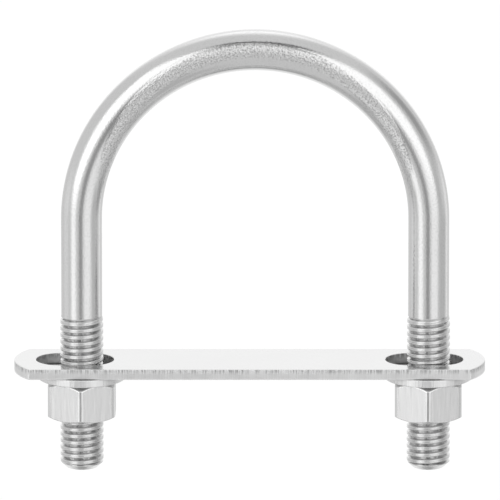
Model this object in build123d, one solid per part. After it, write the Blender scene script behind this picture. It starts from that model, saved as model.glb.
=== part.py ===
from build123d import *
import os
from math import cos, radians, tan

# A round eye for a deck: a U-bolt with two threaded legs, the slotted plate that it stands in,
# and a flat washer and a hex nut under the plate on each leg.
#
# Millimetres. +Z is up, +X runs along the plate from leg to leg, and -Y is the front.
# The origin is the middle of the plate's underside, the face that beds on the deck.
#
# The studs' threads are drawn as rings, one for each turn, and each nut's bore is plain: it clears
# the rings by THREAD_CLEARANCE.

# U-bolt
LEG_SPACING = 63.7  # between the axes of the two legs
ROD_DIAMETER = 7.5
BOW_TOP = 64.3  # crown of the bow above the deck
STUD_PAST_NUT = 9.7  # stud left standing out below each nut
BOLT_OFFSET = 1.0  # how far the U-bolt sits to the right in the plate's slots

# Thread, M8 x 1.25, right-hand, rolled on a reduced rod
THREAD_DIAMETER = 7.95
THREAD_PITCH = 1.25
THREAD_DEPTH = 0.65
THREAD_LENGTH = 28.95  # from the tip of the stud
FLANK_ANGLE = 30.0  # of each flank from the thread's normal
CREST_ROUND = 0.1  # height of the round on top of each turn
ROOT_WIDTH = 0.22  # of the flat between two turns
THREAD_CLEARANCE = 0.1  # between a stud and its nut's bore
RUN_OUT_LENGTH = 0.8  # taper from the thread to the rod
TIP_DIAMETER = 5.6  # flat end of the stud
TIP_CHAMFER = 1.1  # height of the cone above it

# Plate
SLOT_SPREAD = 0.5  # how much wider apart the slots' middles are than the legs
SLOT_PLAY = 6.35  # a stud's play along its slot
SLOT_GAP = 0.425  # between a stud and each long side of its slot
END_WALL = 4.0  # metal past each slot, at the plate's end
SIDE_WALL = 3.1  # metal beside each slot
PLATE_THICKNESS = 2.0
PLATE_END_RADIUS = 11.9
PLATE_TOP_ROUND = 0.1
PLATE_BOTTOM_ROUND = 0.25

# Washers
WASHER_RING = 3.9  # width of the ring from hole to rim
WASHER_GAP = 0.225  # between a stud and its washer's hole
WASHER_THICKNESS = 1.4
WASHER_ROUND = 0.15

# Nuts
NUT_WALL = 2.175  # from the thread to the middle of a flat
NUT_HEIGHT = 7.25
NUT_TOP_INSET = 0.43  # how far inside the flats the top's chamfer starts
NUT_TOP_ANGLE = 40.0
NUT_BOTTOM_INSET = 0.05
NUT_BOTTOM_ANGLE = 30.0
NUT_SINK = 0.3  # how far the chamfer at each end of the bore widens it
LEFT_NUT_ANGLE = -1.5  # from a corner square to the front
RIGHT_NUT_ANGLE = -0.6
OVERRUN = 1.0  # how far a turning tool's outline runs past the corners

SLOT_SPACING = LEG_SPACING + SLOT_SPREAD
SLOT_LENGTH = THREAD_DIAMETER + SLOT_PLAY
SLOT_WIDTH = THREAD_DIAMETER + 2 * SLOT_GAP
PLATE_LENGTH = SLOT_SPACING + SLOT_LENGTH + 2 * END_WALL
PLATE_WIDTH = SLOT_WIDTH + 2 * SIDE_WALL
WASHER_HOLE = THREAD_DIAMETER + 2 * WASHER_GAP
WASHER_DIAMETER = WASHER_HOLE + 2 * WASHER_RING
NUT_ACROSS_FLATS = THREAD_DIAMETER + 2 * NUT_WALL
BOW_RADIUS = LEG_SPACING / 2
BOW_CENTRE = BOW_TOP - ROD_DIAMETER / 2 - BOW_RADIUS
NUT_TOP = -WASHER_THICKNESS
NUT_BOTTOM = NUT_TOP - NUT_HEIGHT
STUD_TIP = NUT_BOTTOM - STUD_PAST_NUT
LEFT_LEG = BOLT_OFFSET - LEG_SPACING / 2
RIGHT_LEG = BOLT_OFFSET + LEG_SPACING / 2


def thread_outline(turns):
    """The outline of a stud's turns up to the thread's top: for each a groove and a rounded ridge."""
    crest = THREAD_DIAMETER / 2
    shoulder = crest - CREST_ROUND
    root = crest - THREAD_DEPTH
    flank = (shoulder - root) * tan(radians(FLANK_ANGLE))
    edges = []
    start = (crest, THREAD_LENGTH - turns * THREAD_PITCH)
    for turn in range(turns):
        foot = start[1]
        ridge_foot = foot + 2 * flank + ROOT_WIDTH
        ridge_top = foot + THREAD_PITCH
        groove = Polyline(
            start,
            (root, foot + flank),
            (root, foot + flank + ROOT_WIDTH),
            (shoulder, ridge_foot),
        )
        middle = (crest, (ridge_foot + ridge_top) / 2)
        ridge = ThreePointArc((shoulder, ridge_foot), middle, (shoulder, ridge_top))
        edges += [groove, ridge]
        start = (shoulder, ridge_top)
    return edges


def leg(x):
    """One leg, turned: chamfered tip, thread, taper and the rod up to the bow."""
    turns = int((THREAD_LENGTH - TIP_CHAMFER) / THREAD_PITCH)
    thread = thread_outline(turns)
    tip = Polyline(
        (0, 0),
        (TIP_DIAMETER / 2, 0),
        (THREAD_DIAMETER / 2, TIP_CHAMFER),
        thread[0] @ 0,
    )
    rod = Polyline(
        thread[-1] @ 1,
        (ROD_DIAMETER / 2, THREAD_LENGTH + RUN_OUT_LENGTH),
        (ROD_DIAMETER / 2, BOW_CENTRE - STUD_TIP),
        (0, BOW_CENTRE - STUD_TIP),
        (0, 0),
    )
    outline = make_face(Curve() + [tip, *thread, rod])
    return Pos(x, 0, STUD_TIP) * revolve(Plane.XZ * outline, Axis.Z)


def bow():
    """The half ring that joins the legs."""
    section = Pos(RIGHT_LEG, 0, BOW_CENTRE) * Circle(ROD_DIAMETER / 2)
    centre_line = Axis((BOLT_OFFSET, 0, BOW_CENTRE), (0, -1, 0))
    return revolve(section, centre_line, 180)


def u_bolt():
    return (leg(LEFT_LEG) + leg(RIGHT_LEG) + bow()).solid()


def plate_outline():
    """The plate's outline: straight sides and shallow round ends that meet them in a corner."""
    half_width = PLATE_WIDTH / 2
    end_centre = PLATE_LENGTH / 2 - PLATE_END_RADIUS
    corner = end_centre + (PLATE_END_RADIUS**2 - half_width**2) ** 0.5
    front = Line((-corner, -half_width), (corner, -half_width))
    right = ThreePointArc((corner, -half_width), (PLATE_LENGTH / 2, 0), (corner, half_width))
    back = Line((corner, half_width), (-corner, half_width))
    left = ThreePointArc((-corner, half_width), (-PLATE_LENGTH / 2, 0), (-corner, -half_width))
    return make_face(Curve() + [front, right, back, left])


def frame_plate():
    slot = SlotOverall(SLOT_LENGTH, SLOT_WIDTH)
    slots = [Pos(side * SLOT_SPACING / 2, 0) * slot for side in (-1, 1)]
    plate = extrude(plate_outline() - slots, PLATE_THICKNESS)
    plate = fillet(plate.edges().group_by(Axis.Z)[-1], PLATE_TOP_ROUND)
    return fillet(plate.edges().group_by(Axis.Z)[0], PLATE_BOTTOM_ROUND).solid()


def washer(x):
    ring = extrude(Circle(WASHER_DIAMETER / 2) - Circle(WASHER_HOLE / 2), -WASHER_THICKNESS)
    rims = ring.edges().filter_by(GeomType.CIRCLE).group_by(SortBy.RADIUS)[-1]
    return Pos(x, 0, 0) * fillet(rims, WASHER_ROUND).solid()


def hexagon_corner(hexagon):
    """The direction of one corner of a hexagon, in degrees."""
    corner = hexagon.vertices()[0]
    return Vector(corner.X, corner.Y).get_angle(Vector(1, 0))


def nut_blank(angle):
    """A hexagon with a corner turned to the front, its corners chamfered, more so on the top."""
    hexagon = RegularPolygon(NUT_ACROSS_FLATS / 2, 6, major_radius=False)
    prism = extrude(Rot(0, 0, angle + 90 - hexagon_corner(hexagon)) * hexagon, NUT_HEIGHT)
    corner = NUT_ACROSS_FLATS / 2 / cos(radians(30)) + OVERRUN
    top_face = NUT_ACROSS_FLATS / 2 - NUT_TOP_INSET
    bottom_face = NUT_ACROSS_FLATS / 2 - NUT_BOTTOM_INSET
    outline = Polyline(
        (0, 0),
        (bottom_face, 0),
        (corner, (corner - bottom_face) * tan(radians(NUT_BOTTOM_ANGLE))),
        (corner, NUT_HEIGHT - (corner - top_face) * tan(radians(NUT_TOP_ANGLE))),
        (top_face, NUT_HEIGHT),
        (0, NUT_HEIGHT),
        close=True,
    )
    return prism & revolve(make_face(Plane.XZ * outline), Axis.Z)


def nut(x, angle):
    bore = Cylinder(
        THREAD_DIAMETER / 2 + THREAD_CLEARANCE,
        NUT_HEIGHT,
        align=(Align.CENTER, Align.CENTER, Align.MIN),
    )
    drilled = nut_blank(angle) - bore
    mouths = drilled.edges().filter_by(GeomType.CIRCLE).group_by(SortBy.RADIUS)[0]
    return Pos(x, 0, NUT_BOTTOM) * chamfer(mouths, NUT_SINK).solid()


PARTS = {
    "u_bolt": u_bolt(),
    "frame_plate": frame_plate(),
    "left_washer": washer(LEFT_LEG),
    "right_washer": washer(RIGHT_LEG),
    "left_nut": nut(LEFT_LEG, LEFT_NUT_ANGLE),
    "right_nut": nut(RIGHT_LEG, RIGHT_NUT_ANGLE),
}

os.makedirs("parts", exist_ok=True)
for name, solid in PARTS.items():
    export_step(solid, f"parts/{name}.step")
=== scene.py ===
from math import asin, atan2, ceil, cos, hypot, pi, radians, sin, sqrt, tan

import bmesh
import bpy
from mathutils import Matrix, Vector


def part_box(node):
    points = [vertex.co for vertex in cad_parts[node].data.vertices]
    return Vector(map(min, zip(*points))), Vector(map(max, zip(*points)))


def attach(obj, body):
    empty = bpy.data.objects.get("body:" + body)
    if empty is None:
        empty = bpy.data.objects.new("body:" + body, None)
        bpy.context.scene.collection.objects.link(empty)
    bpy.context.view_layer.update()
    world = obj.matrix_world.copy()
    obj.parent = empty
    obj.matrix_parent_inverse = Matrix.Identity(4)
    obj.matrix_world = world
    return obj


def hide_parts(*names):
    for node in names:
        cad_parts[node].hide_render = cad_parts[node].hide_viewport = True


# A round U-bolt eye in bright stainless steel: the looks of the bolt, its plate, washers and nuts.
# Metres, in the part's own frame. MM turns the millimetre sizes below into metres.

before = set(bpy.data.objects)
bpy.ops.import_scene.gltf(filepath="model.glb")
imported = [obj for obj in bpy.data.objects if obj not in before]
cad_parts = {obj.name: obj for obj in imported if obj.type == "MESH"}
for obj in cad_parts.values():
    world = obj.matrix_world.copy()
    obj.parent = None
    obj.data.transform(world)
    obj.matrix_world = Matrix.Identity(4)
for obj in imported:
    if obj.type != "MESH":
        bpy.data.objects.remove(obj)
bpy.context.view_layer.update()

MM = 0.001

# Bolt
ROD_RADIUS = 3.75 * MM
THREAD_RADIUS = 3.975 * MM
THREAD_PITCH = 1.25 * MM
THREAD_DEPTH = 0.65 * MM
THREAD_LENGTH = 28.95 * MM
RIDGE_HALF_WIDTH = 0.4 * MM  # of each turn, at its foot
RIDGE_SQUARENESS = 3.5  # 2 makes each turn an ellipse, more makes its crest flatter
SEAM_DEPTH = 0.18 * MM  # the fold that rolling leaves along the crest
SEAM_WIDTH = 0.12 * MM  # to each side of its middle
SEAM_RISE = 0.04 * MM  # how far the seam lies above the middle of the crest
RUN_OUT = 1.3 * MM  # over which the thread fades into the rod
PLAIN_MARGIN = RUN_OUT / 4  # from the thread's end to where the plain rod's mesh starts
GRAIN_AT_CROWN = 0.65 * MM  # middle of the rough band, out from the bow's centre line
GRAIN_SINK = 5.0 * MM  # how far the band moves inwards down the sides
GRAIN_HALF_WIDTH = 1.5 * MM
GRAIN_FADE = 0.5 * MM
TIP_RADIUS = 2.8 * MM
TIP_SLOPE = 1.07  # radius gained per height in the end chamfer
TIP_BARE = 0.7 * MM  # height of the chamfer that shows no groove
LEAD_LENGTH = 1.6 * MM  # over which the first turns reach full size
LEAD_DROP = 0.15 * MM
LEFT_THREAD_START = radians(166)
RIGHT_THREAD_START = radians(108)

# Plate
PLATE_END_RADIUS = 11.9 * MM
PLATE_CORNER_ROUND = 0.5 * MM
ROLL_DEPTH = 0.28 * MM  # how far in from the edge the shears rolled the top face down
ROLL_DROP = 0.05 * MM
SLOT_ROLL_DROP = 0.01 * MM
ROLL_ROUND = 0.6 * MM
PLATE_TOP_ROUND = 0.15 * MM
PLATE_BOTTOM_ROUND = 0.25 * MM
RIM_DEPTH = 1.5 * ROLL_DEPTH  # how far in the flat of the top face starts
BOTTOM_RIM_DEPTH = PLATE_BOTTOM_ROUND + 0.08 * MM
SLOT_SPACING = 64.2 * MM
SLOT_LENGTH = 14.3 * MM
SLOT_WIDTH = 8.8 * MM

# Washers and nuts
WASHER_HOLE = 8.4 * MM
WASHER_ROUND = 0.16 * MM
NUT_ACROSS_FLATS = 12.3 * MM
NUT_TOP_RADIUS = 5.72 * MM  # of the round face inside the corner chamfer
NUT_TOP_ANGLE = radians(40)
NUT_BOTTOM_RADIUS = 6.1 * MM
NUT_BOTTOM_ANGLE = radians(30)
NUT_BORE_RADIUS = 3.38 * MM
NUT_THREAD_GAP = 0.1 * MM  # between the nut's thread and the stud's, at the crests
NUT_THREAD_DEPTH = 1.1  # of the nut's thread, as a share of the stud's
NUT_SINK_RADIUS = 4.375 * MM
NUT_SINK_ANGLE = radians(30)
NUT_TOP_ROUND = 0.4 * MM
NUT_BOTTOM_ROUND = 0.14 * MM
NUT_CORNER_FACE = 0.34 * MM  # width of the worn face along each corner
NUT_CORNER_BEND = radians(5)  # how far that face curves to each side of its middle
NUT_CORNER_ROUND = 0.6 * MM  # radius between it and the flats
NUT_TURNS = 13  # that take it down to the stud's tip
LEFT_NUT_ANGLE = radians(-1.5)
RIGHT_NUT_ANGLE = radians(-0.6)

# Fineness of the meshes
ROD_COLUMNS = 72
TURN_ROWS = 24
SPARE_TURNS = 5  # of rows that a thread's mesh has past its length
SPARE_TURNS_BELOW = 2
LEG_ROWS = 12
TIP_RINGS = (1, 0.97, 0.6, 0.2)  # shares of the tip's radius
BOW_RINGS = 160
LATHE_COLUMNS = 144  # of a washer
PLATE_CORNER_STEPS = 6
PLATE_END_STEPS = 48
SLOT_END_STEPS = 32
ROUND_STEPS = 4
FLAT_STEPS = 15  # across each flat of a nut
MERGE_DISTANCE = 0.0001 * MM
FLAT_HOLD = 0.06 * MM  # strip beside each rounding that keeps the faces shaded flat
HOLD_SHARE = 0.3  # most of what is left of a side that such a strip may take
ROUND_SHARE = 0.45  # most of a side that a rounding may take

# A rounding has a row for each of its points and one for the strip on each side of it.
ROUND_ROWS = ROUND_STEPS + 3
# The plate's wall belongs to its top face as far as the middle of the rounding below the roll.
ROLL_ROWS = ROUND_ROWS + ROUND_STEPS // 2 + 3
# The nut's worn edges are the second and third roundings of its profile, without their strips.
WORN_ROWS = [*range(ROUND_ROWS + 2, 2 * ROUND_ROWS), *range(2 * ROUND_ROWS + 2, 3 * ROUND_ROWS)]
CORNER_COLUMNS = 2 * ROUND_STEPS + 3  # of each worn corner
PLATE_EDGE = 1  # the plate's second material

# Surfaces. A noise is given by its features per metre, its detail, and a factor on its features along
# x, y and z, so that a small factor draws them out. Greys and roughness run from its low parts to its
# high ones, and the range of a kind of spots is the part of the noise over which they fade in.
EVEN = (1, 1, 1)
NOISE_RANGE = (0.3, 0.7)  # where most of a noise lies
# Painted shade: base colours are darkened where an ambient occlusion node finds other surfaces near,
# in corners and in the gaps between parts.
PAINTED_SHADE_REACH = 1.2 * MM
PAINTED_SHADE_RANGE = (0.35, 0.85)  # share of open sky, from a corner painted in full shade to an unshaded face
PAINTED_SHADE_SAMPLES = 8

ROD_CLOUDS = (180, 3, EVEN)
ROD_GREYS = (0.76, 0.82)
ROD_ROUGHNESS = (0.08, 0.14)
DRAW_MARKS = (2600, 2, (1, 1, 0.02))
DRAW_MARK_DEPTH = 0.006 * MM
GRAIN = (3200, 3, (1, 1, 0.9))
GRAIN_DEPTH = 0.13 * MM
GRAIN_ELSEWHERE = 0.16  # share of the bow's grain that the rest of the rod shows
PIT_RANGE = (0.5, 0.62)
PIT_DARKNESS = 0.3
ROOT_RANGE = (0.3, 0.9)  # share of the thread's depth
# The darkening of the thread's roots is partly the oil they hold and partly painted shade.
ROOT_SHADE_AND_OIL = 0.32
ROOT_DULLNESS = 0.1
SOIL = (900, 3, EVEN)
SOIL_RANGE = (0.45, 0.6)
SOIL_DEPTH = 0.05 * MM
SOIL_DARKNESS = 0.42

SHEET_CLOUDS = (120, 4, EVEN)
SHEET_GREYS = (0.82, 0.86)
SHEET_ROUGHNESS = (0.1, 0.15)
SHEET_STREAKS = (2500, 3, (0.05, 1, 1))
SHEET_STREAK_DEPTH = 0.004 * MM

EDGE_CLOUDS = (400, 4, EVEN)
SHEARED_GREYS = (0.88, 0.93)
SHEARED_ROUGHNESS = (0.36, 0.46)
SHEAR_MARKS = (4000, 3, (1, 1, 0.06))
SHEAR_MARK_RANGE = (0.4, 0.6)
SHEAR_MARK_DEPTH = 0.05 * MM
SHEAR_MARK_DARKNESS = 0.42
SHEAR_ZONE = (1.0 * MM, 1.6 * MM)  # heights between which the marks reach their full strength
SHEAR_MARKS_BELOW = 0.15  # their strength below that
# Painted highlight along the cut edge's lower lip, over its bottom rounding.
LIP_HIGHLIGHT_ZONE = (0.12 * MM, 0.36 * MM)
LIP_HIGHLIGHT_GREY = 0.97
PLATE_PAINTED_SHADE = 0.7

WASHER_GREYS = (0.78, 0.94)
WASHER_ROUGHNESS = (0.34, 0.42)
PUNCH_MARKS = (2600, 3, (1, 1, 0.06))
PUNCH_MARK_DEPTH = 0.08 * MM
WASHER_PAINTED_SHADE = 0.5

NUT_CLOUDS = (250, 4, EVEN)
NUT_GREYS = (0.8, 0.86)
NUT_ROUGHNESS = (0.28, 0.34)
BRUSH_MARKS = (1500, 3, (1, 1, 0.12))
BRUSH_MARK_DEPTH = 0.045 * MM
BURNISH = 0.16  # roughness that handling took off the worn edges
NUT_PAINTED_SHADE = 0.3

# Camera
CAMERA_DISTANCE = 3.0
CAMERA_ELEVATION = radians(14.5)
CAMERA_TARGET = Vector((0.06 * MM, 0, 22.7 * MM))
CAMERA_LENS = 1177.2  # a very long lens, in mm on a 36 mm sensor
SENSOR_WIDTH = 36
CAMERA_REACH = 20  # how far the camera sees, in metres

# Table
TABLE_GAP = 0.1 * MM  # below the nuts when they are screwed down to the stud's tip
TABLE_RADIUS = 2.0
TABLE_COLUMNS = 96
TABLE_GREY = 0.9
TABLE_ROUGHNESS = 0.9
TABLE_WHITE = 0.85  # share of plain white in what the camera sees of the table
TABLE_GLOW = 1.07

# The studio as a bright metal shows it. Azimuth 0 is the front, where the photographer stands, and
# it grows to the part's right; the tilt of a bar is 0 in front and 90 overhead. Angles in degrees.
STUDIO_GREY = 0.7
# name, azimuth and elevation of the middle, half width, half height, softness, added light
PANELS = [
    ("left_softbox", -47, 22, 21, 27, 6, 0.64),
    ("left_softbox_foot", -46.7, -22, 13.7, 24, 9, 0.45),
    ("right_softbox", 35, 20, 23, 24, 10, 0.55),
    ("right_softbox_foot", 33, -14, 19, 14, 9, 0.28),
    ("upper_front", -3, 35, 22, 7, 6, 0.35),
    ("camera_gap", -5, -9, 10, 13, 8, -0.36),
    ("left_softbox_edge", -14, 5, 4, 10, 4, -0.26),
    ("white_backdrop", 180, 46, 28, 14, 24, 0.65),
    ("rear_horizon", 180, 6, 28, 14, 12, 0.34),
    ("rear_table", 180, -40, 34, 16, 14, 0.3),
    ("table_shadow", 180, -72, 60, 5, 6, -0.34),
    ("right_wall_gap", 96, 24, 20, 16, 12, -0.32),
    ("right_table_gap", 100, -42, 13, 26, 12, -0.4),
    ("left_table_gap", -95, -55, 28, 30, 20, -0.24),
    ("right_near_gap", 74, -12, 12, 16, 8, -0.14),
    ("right_wall_low", 120, -12, 13, 12, 8, 0.2),
    ("left_wall_low", -98, -12, 18, 12, 10, 0.12),
    ("front_right_table_gap", 45, -58, 24, 14, 10, -0.14),
    ("front_table", 0, -62, 180, 34, 20, -0.04),
]
# name, tilt and sideways place of the middle, half width, half length, softness, added light
BARS = [
    ("softbox_frame", 54, 0.06, 6.5, 0.27, 4, -0.48),
    ("softbox_lip", 59, 0, 2.5, 0.6, 2, -0.2),
    ("horizon_line", -5, 0.15, 2, 0.3, 2, -0.16),
]
BAR_END_SOFTNESS = 1 / 3  # as a share of the bar's half length

bolt_low, bolt_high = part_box("u_bolt")
plate_low, plate_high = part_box("frame_plate")
STUD_TIP = bolt_low.z
LEFT_LEG = bolt_low.x + THREAD_RADIUS
RIGHT_LEG = bolt_high.x - THREAD_RADIUS
BOW_RADIUS = (RIGHT_LEG - LEFT_LEG) / 2
BOW_X = (RIGHT_LEG + LEFT_LEG) / 2
BOW_Z = bolt_high.z - ROD_RADIUS - BOW_RADIUS
TABLE_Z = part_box("left_nut")[0].z - NUT_TURNS * THREAD_PITCH - TABLE_GAP


def smooth_step(value):
    value = min(max(value, 0.0), 1.0)
    return value * value * (3 - 2 * value)


# ---------------------------------------------------------------------------------------- meshes


def skin(mesh, rings, material=0):
    """Skins a list of closed rings of points and returns their vertices."""
    rows = [[mesh.verts.new(point) for point in ring] for ring in rings]
    for first, second in zip(rows, rows[1:]):
        for i, vert in enumerate(first):
            after = (i + 1) % len(first)
            face = mesh.faces.new((vert, first[after], second[after], second[i]))
            face.material_index = material
    return rows


def finish_mesh(name, mesh, body, node, materials):
    """Makes a piece that stands for a CAD node from a bmesh."""
    bmesh.ops.remove_doubles(mesh, verts=mesh.verts, dist=MERGE_DISTANCE)
    loose = [vert for vert in mesh.verts if not vert.link_faces]
    bmesh.ops.delete(mesh, geom=loose, context="VERTS")
    bmesh.ops.recalc_face_normals(mesh, faces=mesh.faces)
    data = bpy.data.meshes.new(name)
    mesh.to_mesh(data)
    mesh.free()
    for material in materials:
        data.materials.append(material)
    data.shade_smooth()
    piece = bpy.data.objects.new(name, data)
    bpy.context.scene.collection.objects.link(piece)
    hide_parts(node)
    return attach(piece, body)


def even_angles(count):
    return [2 * pi * i / count for i in range(count)]


def ring_of(angles, radius, height, x):
    """A level ring of points around an upright line through x."""
    return [(x + radius * cos(angle), radius * sin(angle), height) for angle in angles]


def rounded(corners, radii):
    """A line through corners, with each inner one rounded and a flat strip beside each rounding."""
    line = [corners[0]]
    for before, corner, after, radius in zip(corners, corners[1:], corners[2:], radii):
        a = Vector(before) - Vector(corner)
        b = Vector(after) - Vector(corner)
        half = a.angle(b) / 2
        reach = min(radius / tan(half), ROUND_SHARE * a.length, ROUND_SHARE * b.length)
        centre = Vector(corner) + (a.normalized() + b.normalized()).normalized() * reach / cos(half)
        start = Vector(corner) + a.normalized() * reach
        end = Vector(corner) + b.normalized() * reach
        hold = min(FLAT_HOLD, HOLD_SHARE * (min(a.length, b.length) - reach))
        line.append(tuple(start + a.normalized() * hold))
        for step in range(ROUND_STEPS + 1):
            share = step / ROUND_STEPS
            spoke = (start - centre).lerp(end - centre, share).normalized()
            line.append(tuple(centre + spoke * (start - centre).length))
        line.append(tuple(end + b.normalized() * hold))
    return line + [corners[-1]]


# ------------------------------------------------------------------------------------------ bolt


def thread_drop(phase):
    """How far the thread's surface lies inside its crest, at a share of a pitch from the crest."""
    height = ((phase + 0.5) % 1 - 0.5) * THREAD_PITCH
    share = min(abs(height) / RIDGE_HALF_WIDTH, 1)
    ridge = (1 - share**RIDGE_SQUARENESS) ** (1 / RIDGE_SQUARENESS)
    seam = SEAM_DEPTH * (1 - smooth_step(abs(height - SEAM_RISE) / SEAM_WIDTH))
    return THREAD_DEPTH * (1 - ridge) + seam


def stud_radius(phase, height):
    """The stud's radius at a height above its tip."""
    lead = LEAD_DROP * (1 - smooth_step(height / LEAD_LENGTH))
    cut = smooth_step((height - TIP_BARE) / TIP_BARE)
    threaded = THREAD_RADIUS - lead - cut * thread_drop(phase)
    fade = smooth_step((height - THREAD_LENGTH + RUN_OUT) / RUN_OUT)
    radius = threaded + (ROD_RADIUS - threaded) * fade
    return min(radius, TIP_RADIUS + TIP_SLOPE * height)


def skin_thread(mesh, x, start, top, base, radius, angles):
    """Skins a thread from base up to the height top, in rows that rise a pitch in each turn.

    radius(phase, height) gives its radius, where a phase of 1 is a pitch. Points of the rows that
    lie past either end are held at it. Each row's end is joined to the row one turn further up.
    """
    turns = ceil(top / THREAD_PITCH) + SPARE_TURNS
    rows = []
    for row in range(turns * TURN_ROWS + 1):
        phase = row / TURN_ROWS
        ring = []
        for angle in angles:
            rise = THREAD_PITCH * (phase - SPARE_TURNS_BELOW + angle / (2 * pi))
            height = min(max(rise, 0), top)
            held = phase + (height - rise) / THREAD_PITCH
            r = radius(held, height)
            ring.append((x + r * cos(start + angle), r * sin(start + angle), base + height))
        rows.append([mesh.verts.new(point) for point in ring])
    for first, second in zip(rows, rows[1:]):
        for i in range(len(first) - 1):
            mesh.faces.new((first[i], first[i + 1], second[i + 1], second[i]))
    above = rows[TURN_ROWS:]
    for first, second, over, over_next in zip(rows, rows[1:], above, above[1:]):
        mesh.faces.new((first[-1], over[0], over_next[0], second[-1]))


def leg(mesh, x, start):
    """One leg: chamfered tip, rolled thread and the rod up to the bow."""
    angles = even_angles(ROD_COLUMNS)
    plain_from = THREAD_LENGTH + PLAIN_MARGIN
    skin_thread(mesh, x, start, plain_from, STUD_TIP, stud_radius, angles)
    around = [start + angle for angle in angles]
    rows = skin(mesh, [ring_of(around, TIP_RADIUS * share, STUD_TIP, x) for share in TIP_RINGS])
    mesh.faces.new(rows[-1])
    top = BOW_Z - STUD_TIP
    heights = [plain_from + (top - plain_from) * i / LEG_ROWS for i in range(LEG_ROWS + 1)]
    skin(mesh, [ring_of(around, ROD_RADIUS, STUD_TIP + height, x) for height in heights])


def bow(mesh):
    """The half ring that joins the legs."""
    rings = []
    for ring in range(BOW_RINGS + 1):
        turn = pi * ring / BOW_RINGS
        out = Vector((cos(turn), 0, sin(turn)))
        centre = Vector((BOW_X, 0, BOW_Z)) + BOW_RADIUS * out
        points = []
        for angle in even_angles(ROD_COLUMNS):
            spoke = cos(angle) * out + sin(angle) * Vector((0, 1, 0))
            points.append(centre + ROD_RADIUS * spoke)
        rings.append(points)
    skin(mesh, rings)


def groove_share(x, y, z):
    """How deep a point of the threads lies, from 0 on the crests to 1 in the roots."""
    height = z - STUD_TIP
    if not TIP_BARE < height < THREAD_LENGTH:
        return 0.0
    leg_x = RIGHT_LEG if x > 0 else LEFT_LEG
    surface = min(THREAD_RADIUS, TIP_RADIUS + TIP_SLOPE * height)
    return min(max((surface - hypot(x - leg_x, y)) / THREAD_DEPTH, 0.0), 1.0)


def rod_place(x, y, z):
    """A point's place on the straightened rod, so that its marks follow the bend."""
    x, z = x - BOW_X, z - BOW_Z
    if z > 0:
        return hypot(x, z) - BOW_RADIUS, y, BOW_RADIUS * atan2(z, x)
    if x > 0:
        return x - BOW_RADIUS, y, z
    return -x - BOW_RADIUS, y, BOW_RADIUS * pi - z


def grain_share(x, y, z):
    """How far the bend raised the rod's grain at a point: 1 in a band on each side of the bow."""
    x, z = x - BOW_X, z - BOW_Z
    if z <= 0:
        return 0.0
    rise = sin(atan2(z, x))
    middle = GRAIN_AT_CROWN - GRAIN_SINK * (1 - rise)
    off = abs(hypot(x, z) - BOW_RADIUS - middle)
    return smooth_step(2 * rise) * smooth_step((GRAIN_HALF_WIDTH - off) / GRAIN_FADE)


def snapped(angle):
    """The nearest of the rod's columns, so that the legs' last rings meet the bow's."""
    step = 2 * pi / ROD_COLUMNS
    return round(angle / step) * step


def make_bolt(material):
    mesh = bmesh.new()
    leg(mesh, LEFT_LEG, snapped(LEFT_THREAD_START))
    leg(mesh, RIGHT_LEG, snapped(RIGHT_THREAD_START))
    bow(mesh)
    piece = finish_mesh("bolt", mesh, "u_bolt", "u_bolt", [material])
    points = [vertex.co for vertex in piece.data.vertices]
    attributes = piece.data.attributes
    groove = attributes.new("groove", "FLOAT", "POINT")
    groove.data.foreach_set("value", [groove_share(*point) for point in points])
    grain = attributes.new("grain", "FLOAT", "POINT")
    grain.data.foreach_set("value", [grain_share(*point) for point in points])
    place = attributes.new("rod_space", "FLOAT_VECTOR", "POINT")
    place.data.foreach_set("vector", [value for point in points for value in rod_place(*point)])
    return piece


# ----------------------------------------------------------------------------------------- plate


def arc_run(centre, radius, start, end, steps):
    """Points and outward normals along an arc, with the angles in radians."""
    run = []
    for step in range(steps + 1):
        angle = start + (end - start) * step / steps
        normal = Vector((cos(angle), sin(angle)))
        run.append((Vector(centre) + radius * normal, normal))
    return run


def plate_outline():
    """The plate's edge, anticlockwise from the front right corner."""
    middle = (plate_low + plate_high) / 2
    half_length = (plate_high.x - plate_low.x) / 2
    half_width = (plate_high.y - plate_low.y) / 2
    end_x = half_length - PLATE_END_RADIUS
    reach = PLATE_END_RADIUS - PLATE_CORNER_ROUND
    corner_y = half_width - PLATE_CORNER_ROUND
    corner_x = end_x + sqrt(reach**2 - corner_y**2)
    meet = asin(corner_y / reach)
    steps = PLATE_CORNER_STEPS
    end = arc_run((corner_x, -corner_y), PLATE_CORNER_ROUND, -pi / 2, -meet, steps)
    end += arc_run((end_x, 0), PLATE_END_RADIUS, -meet, meet, PLATE_END_STEPS)[1:-1]
    end += arc_run((corner_x, corner_y), PLATE_CORNER_ROUND, meet, pi / 2, steps)
    far = [(Vector((-point.x, -point.y)), -normal) for point, normal in end]
    shift = Vector((middle.x, middle.y))
    return [(point + shift, normal) for point, normal in end + far]


def slot_outline(x):
    """A slot's edge, with normals that point out of the metal, into the slot."""
    radius = SLOT_WIDTH / 2
    reach = SLOT_LENGTH / 2 - radius
    run = arc_run((x + reach, 0), radius, -pi / 2, pi / 2, SLOT_END_STEPS)
    run += arc_run((x - reach, 0), radius, pi / 2, 3 * pi / 2, SLOT_END_STEPS)
    return [(point, -normal) for point, normal in run]


def plate_wall(mesh, outline, roll_drop):
    """Skins one edge of the plate, rounded above and below, and returns the two rims."""
    profile = rounded(
        [
            (-RIM_DEPTH, plate_high.z),
            (-ROLL_DEPTH, plate_high.z),
            (0, plate_high.z - roll_drop),
            (0, plate_low.z),
            (-BOTTOM_RIM_DEPTH, plate_low.z),
        ],
        [ROLL_ROUND, PLATE_TOP_ROUND, PLATE_BOTTOM_ROUND],
    )
    rings = []
    for offset, height in profile:
        rings.append([(*(point + offset * normal), height) for point, normal in outline])
    top = skin(mesh, rings[:ROLL_ROWS])
    rows = skin(mesh, rings[ROLL_ROWS - 1 :], PLATE_EDGE)
    return top[0], rows[-1]


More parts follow.
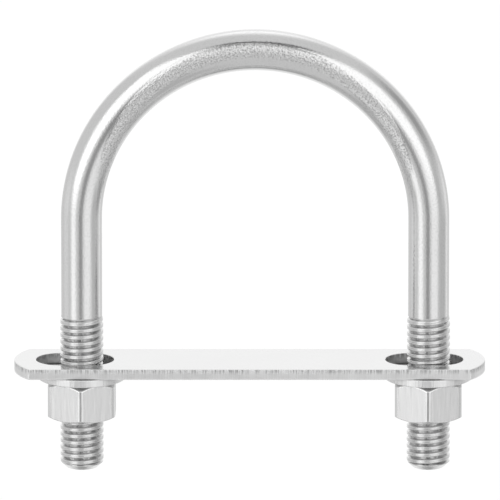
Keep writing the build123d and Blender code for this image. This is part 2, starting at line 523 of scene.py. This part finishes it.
def cap(mesh, rims, normal):
    """Fills the plate's face between its outer rim and the slots' rims."""
    edges = []
    for rim in rims:
        for i, vert in enumerate(rim):
            edges.append(mesh.edges.get((vert, rim[(i + 1) % len(rim)])))
    bmesh.ops.triangle_fill(mesh, use_beauty=True, use_dissolve=False, edges=edges, normal=normal)


def make_plate(face_material, edge_material):
    mesh = bmesh.new()
    rims = [plate_wall(mesh, plate_outline(), ROLL_DROP)]
    for side in (-1, 1):
        rims.append(plate_wall(mesh, slot_outline(side * SLOT_SPACING / 2), SLOT_ROLL_DROP))
    cap(mesh, [top for top, _ in rims], (0, 0, 1))
    cap(mesh, [bottom for _, bottom in rims], (0, 0, -1))
    materials = [face_material, edge_material]
    return finish_mesh("plate", mesh, "frame_plate", "frame_plate", materials)


# ------------------------------------------------------------------------------ washers and nuts


def make_washer(name, node, material):
    low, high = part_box(node)
    x = (low.x + high.x) / 2
    outer = (high.x - low.x) / 2
    hole = WASHER_HOLE / 2
    middle = (low.z + high.z) / 2
    seam = (hole, middle)
    corners = [(hole, high.z), (outer, high.z), (outer, low.z), (hole, low.z)]
    line = rounded([seam, *corners, seam], [WASHER_ROUND] * len(corners))
    angles = even_angles(LATHE_COLUMNS)
    mesh = bmesh.new()
    skin(mesh, [ring_of(angles, radius, height, x) for radius, height in line])
    return finish_mesh(name, mesh, node, node, [material])


def nut_corner():
    """Half a worn corner: distances out along its spoke and sideways, from the middle to a flat."""
    face = NUT_CORNER_FACE / 2 / sin(NUT_CORNER_BEND)
    face_end = face * (cos(NUT_CORNER_BEND) - 1)
    points = [(face * (cos(bend) - 1), face * sin(bend)) for bend in (0, NUT_CORNER_BEND)]
    for step in range(1, ROUND_STEPS + 1):
        bend = NUT_CORNER_BEND + (pi / 6 - NUT_CORNER_BEND) * step / ROUND_STEPS
        out = face_end - NUT_CORNER_ROUND * (cos(NUT_CORNER_BEND) - cos(bend))
        side = NUT_CORNER_FACE / 2 + NUT_CORNER_ROUND * (sin(bend) - sin(NUT_CORNER_BEND))
        points.append((out, side))
    last_out, last_side = points[-1]
    reach = (NUT_ACROSS_FLATS / 2 - last_side * sin(pi / 6)) / cos(pi / 6) - last_out
    return [(reach + out, side) for out, side in points]


def nut_columns(angle):
    """Angles of the nut's columns and its outline's radius at each: six flats, worn corners."""
    half = nut_corner()
    profile = [(out, -side) for out, side in reversed(half[1:])] + half
    columns = []
    for side in range(6):
        corner = angle - pi / 2 + side * pi / 3
        for out, sideways in profile:
            columns.append((corner + atan2(sideways, out), hypot(out, sideways)))
        flat_middle = corner + pi / 6
        start = columns[-1][0] - flat_middle
        for step in range(1, FLAT_STEPS):
            off = start - 2 * start * step / FLAT_STEPS
            columns.append((flat_middle + off, NUT_ACROSS_FLATS / 2 / cos(off)))
    return columns


def nut_bore(phase, height, total):
    """The nut's threaded bore with a countersink at each end."""
    thread = THREAD_RADIUS + NUT_THREAD_GAP - NUT_THREAD_DEPTH * thread_drop(phase)
    sink = NUT_SINK_RADIUS - min(height, total - height) / tan(NUT_SINK_ANGLE)
    return max(thread, NUT_BORE_RADIUS, sink)


def nut_profile(outline, low, high):
    """The nut's (radius, height) line from bore to bore, where its outline has the given radius."""
    top_drop = (outline - NUT_TOP_RADIUS) * tan(NUT_TOP_ANGLE)
    bottom_drop = (outline - NUT_BOTTOM_RADIUS) * tan(NUT_BOTTOM_ANGLE)
    corners = [
        (NUT_SINK_RADIUS, high),
        (NUT_TOP_RADIUS, high),
        (outline, high - top_drop),
        (outline, low + bottom_drop),
        (NUT_BOTTOM_RADIUS, low),
        (NUT_SINK_RADIUS, low),
    ]
    return rounded(corners, [NUT_TOP_ROUND, NUT_TOP_ROUND, NUT_BOTTOM_ROUND, NUT_BOTTOM_ROUND])


def nut_outside(mesh, columns, x, low, high):
    """Skins the nut's outside and marks its worn corners and edges."""
    worn = mesh.verts.layers.float.new("worn")
    lines = []
    for column, outline in columns:
        profile = nut_profile(outline, low, high)
        lines.append([(x + r * cos(column), r * sin(column), height) for r, height in profile])
    for number, row in enumerate(skin(mesh, list(zip(*lines)))):
        for column, vert in enumerate(row):
            on_corner = column % (len(columns) // 6) < CORNER_COLUMNS
            vert[worn] = float(on_corner or number in WORN_ROWS)


def make_nut(name, node, angle, start, material):
    low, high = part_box(node)
    x = LEFT_LEG if low.x < 0 else RIGHT_LEG
    total = high.z - low.z
    columns = nut_columns(angle)
    first = columns[0][0]
    mesh = bmesh.new()
    nut_outside(mesh, columns, x, low.z, high.z)
    shift = (low.z - STUD_TIP) / THREAD_PITCH - (first - start) / (2 * pi)

    def radius(phase, height):
        return nut_bore(phase + shift, height, total)

    skin_thread(mesh, x, first, total, low.z, radius, [column - first for column, _ in columns])
    return finish_mesh(name, mesh, node, node, [material])


# ------------------------------------------------------------------------------------- materials


def grey(value):
    return (value, value, value, 1)


class NodeTree:
    """Adds nodes to a material or to the world. Most methods return the output of a new node."""

    def __init__(self, tree):
        self.nodes = tree.nodes
        self.links = tree.links

    def feed(self, node, name, value):
        """Sets an input of a node to a value, or links it to another node's output."""
        if isinstance(value, bpy.types.NodeSocket):
            self.links.new(value, node.inputs[name])
        else:
            node.inputs[name].default_value = value

    def add(self, kind, inputs=None, **settings):
        """A new node with its settings and its inputs."""
        node = self.nodes.new(kind)
        for name, value in settings.items():
            setattr(node, name, value)
        for name, value in (inputs or {}).items():
            self.feed(node, name, value)
        return node

    def math(self, operation, *values):
        return self.add("ShaderNodeMath", dict(enumerate(values)), operation=operation).outputs[0]

    def ranged(self, value, low, high, from_low, from_high, **settings):
        """A value mapped from one range onto another, and held inside it."""
        inputs = {"From Min": from_low, "From Max": from_high, "To Min": low, "To Max": high}
        node = self.add("ShaderNodeMapRange", {"Value": value, **inputs}, **settings)
        return node.outputs["Result"]

    def spread(self, noise, low, high):
        """A noise spread over the range between two numbers."""
        return self.ranged(noise, low, high, *NOISE_RANGE)

    def spots(self, noise, from_low, from_high):
        """A noise sharpened to spots: 0 below one level and 1 above the other."""
        return self.ranged(noise, 0, 1, from_low, from_high)

    def mixed(self, share, first, second, **settings):
        """A colour between two others."""
        inputs = {"Factor": share, "A": first, "B": second}
        node = self.add("ShaderNodeMix", inputs, data_type="RGBA", **settings)
        return node.outputs["Result"]

    def neutral(self, share, dark, light):
        """A colour between two greys."""
        return self.mixed(share, grey(dark), grey(light))

    def darker(self, color, share, darkness):
        """A colour darkened where a share is 1."""
        return self.mixed(share, color, grey(1 - darkness), blend_type="MULTIPLY")

    def painted_crevice_shade(self, color, darkness):
        """A colour darkened in corners and narrow gaps, as painted shade."""
        sky = self.add(
            "ShaderNodeAmbientOcclusion", {"Distance": PAINTED_SHADE_REACH}, samples=PAINTED_SHADE_SAMPLES
        )
        closed = self.ranged(sky.outputs["AO"], 1, 0, *PAINTED_SHADE_RANGE)
        return self.darker(color, closed, darkness)

    def place(self):
        """Where a point lies in the part."""
        return self.add("ShaderNodeTexCoord").outputs["Object"]

    def attribute(self, name, output="Fac"):
        return self.add("ShaderNodeAttribute", attribute_name=name).outputs[output]

    def noise(self, place, scale, detail, stretch):
        mapping = self.add("ShaderNodeMapping", {"Vector": place, "Scale": stretch})
        inputs = {"Vector": mapping.outputs["Vector"], "Scale": scale, "Detail": detail}
        return self.add("ShaderNodeTexNoise", inputs).outputs["Fac"]

    def relief(self, height, depth, below=None):
        """Normals of a relief, on top of those of another."""
        node = self.add("ShaderNodeBump", {"Height": height, "Strength": 1.0, "Distance": depth})
        if below:
            self.feed(node, "Normal", below)
        return node.outputs["Normal"]


def new_material(name):
    """A new material, its node tree and its shader."""
    material = bpy.data.materials.new(name)
    material.use_nodes = True
    tree = NodeTree(material.node_tree)
    return material, tree, tree.nodes["Principled BSDF"]


def finish_metal(tree, shader, color, roughness, normal):
    tree.feed(shader, "Metallic", 1.0)
    tree.feed(shader, "Base Color", color)
    tree.feed(shader, "Roughness", roughness)
    tree.feed(shader, "Normal", normal)


def rod_metal():
    """Drawn and polished rod: draw marks, dirt in the thread, painted shade with oil in its roots,
    and the grain that bending raised.
    """
    material, tree, shader = new_material("polished_rod")
    place = tree.attribute("rod_space", "Vector")
    raised = tree.math("MAXIMUM", tree.attribute("grain"), GRAIN_ELSEWHERE)
    root = tree.spots(tree.attribute("groove"), *ROOT_RANGE)
    clouds = tree.noise(place, *ROD_CLOUDS)
    grain = tree.noise(place, *GRAIN)
    pits = tree.math("MULTIPLY", tree.spots(grain, *PIT_RANGE), raised)
    soil = tree.math("MULTIPLY", tree.spots(tree.noise(place, *SOIL), *SOIL_RANGE), root)

    color = tree.neutral(clouds, *ROD_GREYS)
    color = tree.darker(color, pits, PIT_DARKNESS)
    # Painted shade and oil: the thread's roots darkened by their depth.
    color = tree.darker(color, root, ROOT_SHADE_AND_OIL)
    color = tree.darker(color, soil, SOIL_DARKNESS)
    roughness = tree.spread(clouds, *ROD_ROUGHNESS)
    roughness = tree.math("MULTIPLY_ADD", root, ROOT_DULLNESS, roughness)
    normal = tree.relief(tree.noise(place, *DRAW_MARKS), DRAW_MARK_DEPTH)
    normal = tree.relief(soil, SOIL_DEPTH, normal)
    normal = tree.relief(tree.math("MULTIPLY", grain, raised), GRAIN_DEPTH, normal)
    finish_metal(tree, shader, color, roughness, normal)
    return material


def plate_metal():
    """Rolled sheet with a bright, faintly streaked face."""
    material, tree, shader = new_material("plate_face")
    place = tree.place()
    clouds = tree.noise(place, *SHEET_CLOUDS)
    color = tree.neutral(clouds, *SHEET_GREYS)
    roughness = tree.spread(clouds, *SHEET_ROUGHNESS)
    normal = tree.relief(tree.noise(place, *SHEET_STREAKS), SHEET_STREAK_DEPTH)
    finish_metal(tree, shader, color, roughness, normal)
    return material


def sheared_metal():
    """The plate's cut edge: scored under the top face, cleaner below, with a painted highlight along
    the lower lip.
    """
    material, tree, shader = new_material("plate_edge")
    place = tree.place()
    height = tree.add("ShaderNodeSeparateXYZ", {"Vector": place}).outputs["Z"]
    upper = tree.ranged(height, SHEAR_MARKS_BELOW, 1, *SHEAR_ZONE)
    lip = tree.ranged(height, 1, 0, *LIP_HIGHLIGHT_ZONE)
    marks = tree.spots(tree.noise(place, *SHEAR_MARKS), *SHEAR_MARK_RANGE)
    scored = tree.math("MULTIPLY", marks, upper)
    clouds = tree.noise(place, *EDGE_CLOUDS)

    color = tree.darker(tree.neutral(clouds, *SHEARED_GREYS), scored, SHEAR_MARK_DARKNESS)
    # Painted highlight: the lower lip of the edge lightened.
    color = tree.mixed(lip, color, grey(LIP_HIGHLIGHT_GREY))
    # Painted shade in the corners and gaps of the cut edge.
    color = tree.painted_crevice_shade(color, PLATE_PAINTED_SHADE)
    roughness = tree.spread(clouds, *SHEARED_ROUGHNESS)
    finish_metal(tree, shader, color, roughness, tree.relief(scored, SHEAR_MARK_DEPTH))
    return material


def washer_metal():
    """Punched washers: a rim with fine upright marks, which spread the light along it."""
    material, tree, shader = new_material("washer")
    place = tree.place()
    marks = tree.noise(place, *PUNCH_MARKS)
    # Painted shade in corners and gaps, such as under the plate and over the nut.
    color = tree.painted_crevice_shade(tree.neutral(marks, *WASHER_GREYS), WASHER_PAINTED_SHADE)
    roughness = tree.spread(tree.noise(place, *EDGE_CLOUDS), *WASHER_ROUGHNESS)
    finish_metal(tree, shader, color, roughness, tree.relief(marks, PUNCH_MARK_DEPTH))
    return material


def nut_metal():
    """Bright nuts: faint upright brush marks, and edges burnished by handling."""
    material, tree, shader = new_material("nut")
    place = tree.place()
    clouds = tree.noise(place, *NUT_CLOUDS)
    # Painted shade in corners and gaps, such as the chamfer under the washer.
    color = tree.painted_crevice_shade(tree.neutral(clouds, *NUT_GREYS), NUT_PAINTED_SHADE)
    roughness = tree.spread(clouds, *NUT_ROUGHNESS)
    roughness = tree.math("MULTIPLY_ADD", tree.attribute("worn"), -BURNISH, roughness)
    normal = tree.relief(tree.noise(place, *BRUSH_MARKS), BRUSH_MARK_DEPTH)
    finish_metal(tree, shader, color, roughness, normal)
    return material


# ---------------------------------------------------------------------------------------- studio


def soft_window(tree, distance, half_size, softness):
    """1 inside a panel, falling softly to 0 across its edge."""
    inner, outer = half_size - softness, half_size + softness
    return tree.ranged(distance, 0, 1, outer, inner, interpolation_type="SMOOTHSTEP")


def angle_window(tree, angle, middle, half_size, softness):
    """A soft window over an angle, the short way round; the last three are in degrees."""
    difference = tree.math("SUBTRACT", angle, radians(middle))
    distance = tree.math("ARCCOSINE", tree.math("COSINE", difference))
    return soft_window(tree, distance, radians(half_size), radians(softness))


def lit(tree, light, across, along, gain):
    """The light with that of one more panel, which fills two windows."""
    window = tree.math("MULTIPLY", across, along)
    return tree.math("MULTIPLY_ADD", window, gain, light)


def studio_light(tree):
    """The brightness of the studio in every direction."""
    direction = tree.add("ShaderNodeTexCoord").outputs["Generated"]
    x, y, z = tree.add("ShaderNodeSeparateXYZ", {"Vector": direction}).outputs
    forward = tree.math("MULTIPLY", y, -1.0)
    azimuth = tree.math("ARCTAN2", x, forward)
    elevation = tree.math("ARCSINE", z)
    tilt = tree.math("ARCTAN2", z, forward)
    light = STUDIO_GREY
    for _, turn, height, half_width, half_height, softness, gain in PANELS:
        across = angle_window(tree, azimuth, turn, half_width, softness)
        along = angle_window(tree, elevation, height, half_height, softness)
        light = lit(tree, light, across, along, gain)
    for _, slope, side, half_width, half_length, softness, gain in BARS:
        across = angle_window(tree, tilt, slope, half_width, softness)
        distance = tree.math("ABSOLUTE", tree.math("SUBTRACT", x, side))
        along = soft_window(tree, distance, half_length, BAR_END_SOFTNESS * half_length)
        light = lit(tree, light, across, along, gain)
    return light


def camera_ray(tree):
    return tree.add("ShaderNodeLightPath").outputs["Is Camera Ray"]


def make_world():
    """Plain white for the camera, and the studio for everything that the metal reflects."""
    world = bpy.data.worlds.new("studio")
    bpy.context.scene.world = world
    world.use_nodes = True
    tree = NodeTree(world.node_tree)
    tree.nodes.clear()
    white = grey(1)
    studio = tree.add("ShaderNodeBackground", {"Color": white, "Strength": studio_light(tree)})
    plain = tree.add("ShaderNodeBackground", {"Color": white, "Strength": 1.0})
    shaders = {0: camera_ray(tree), 1: studio.outputs[0], 2: plain.outputs[0]}
    mix = tree.add("ShaderNodeMixShader", shaders)
    tree.add("ShaderNodeOutputWorld", {"Surface": mix.outputs[0]})


def table_material():
    """A white that the camera sees almost plain, with a faint shadow."""
    material, tree, shader = new_material("white_table")
    tree.feed(shader, "Base Color", grey(TABLE_GREY))
    tree.feed(shader, "Roughness", TABLE_ROUGHNESS)
    glow = tree.add("ShaderNodeEmission", {"Strength": TABLE_GLOW})
    share = tree.math("MULTIPLY", camera_ray(tree), TABLE_WHITE)
    shaders = {0: share, 1: shader.outputs[0], 2: glow.outputs[0]}
    mix = tree.add("ShaderNodeMixShader", shaders)
    tree.feed(tree.nodes["Material Output"], "Surface", mix.outputs[0])
    return material


def make_floor():
    """The table, which only gives the part's shadow: the metal reflects that of the studio."""
    bpy.ops.mesh.primitive_circle_add(
        vertices=TABLE_COLUMNS, radius=TABLE_RADIUS, fill_type="NGON"
    )
    floor = bpy.context.object
    floor.name = "floor"
    floor.location = (0, 0, TABLE_Z)
    floor.visible_glossy = False
    floor.data.materials.append(table_material())


def make_camera():
    data = bpy.data.cameras.new("camera")
    data.lens = CAMERA_LENS
    data.sensor_width = SENSOR_WIDTH
    data.clip_end = CAMERA_REACH
    camera = bpy.data.objects.new("camera", data)
    bpy.context.scene.collection.objects.link(camera)
    back = Vector((0, -cos(CAMERA_ELEVATION), sin(CAMERA_ELEVATION)))
    camera.location = CAMERA_TARGET + CAMERA_DISTANCE * back
    camera.rotation_euler = (pi / 2 - CAMERA_ELEVATION, 0, 0)
    bpy.context.scene.camera = camera


make_camera()
make_world()
make_floor()
bpy.context.scene.view_settings.view_transform = "Standard"

washer = washer_metal()
nut = nut_metal()
make_bolt(rod_metal())
make_plate(plate_metal(), sheared_metal())
make_washer("washer_left", "left_washer", washer)
make_washer("washer_right", "right_washer", washer)
make_nut("nut_left", "left_nut", LEFT_NUT_ANGLE, LEFT_THREAD_START, nut)
make_nut("nut_right", "right_nut", RIGHT_NUT_ANGLE, RIGHT_THREAD_START, nut)
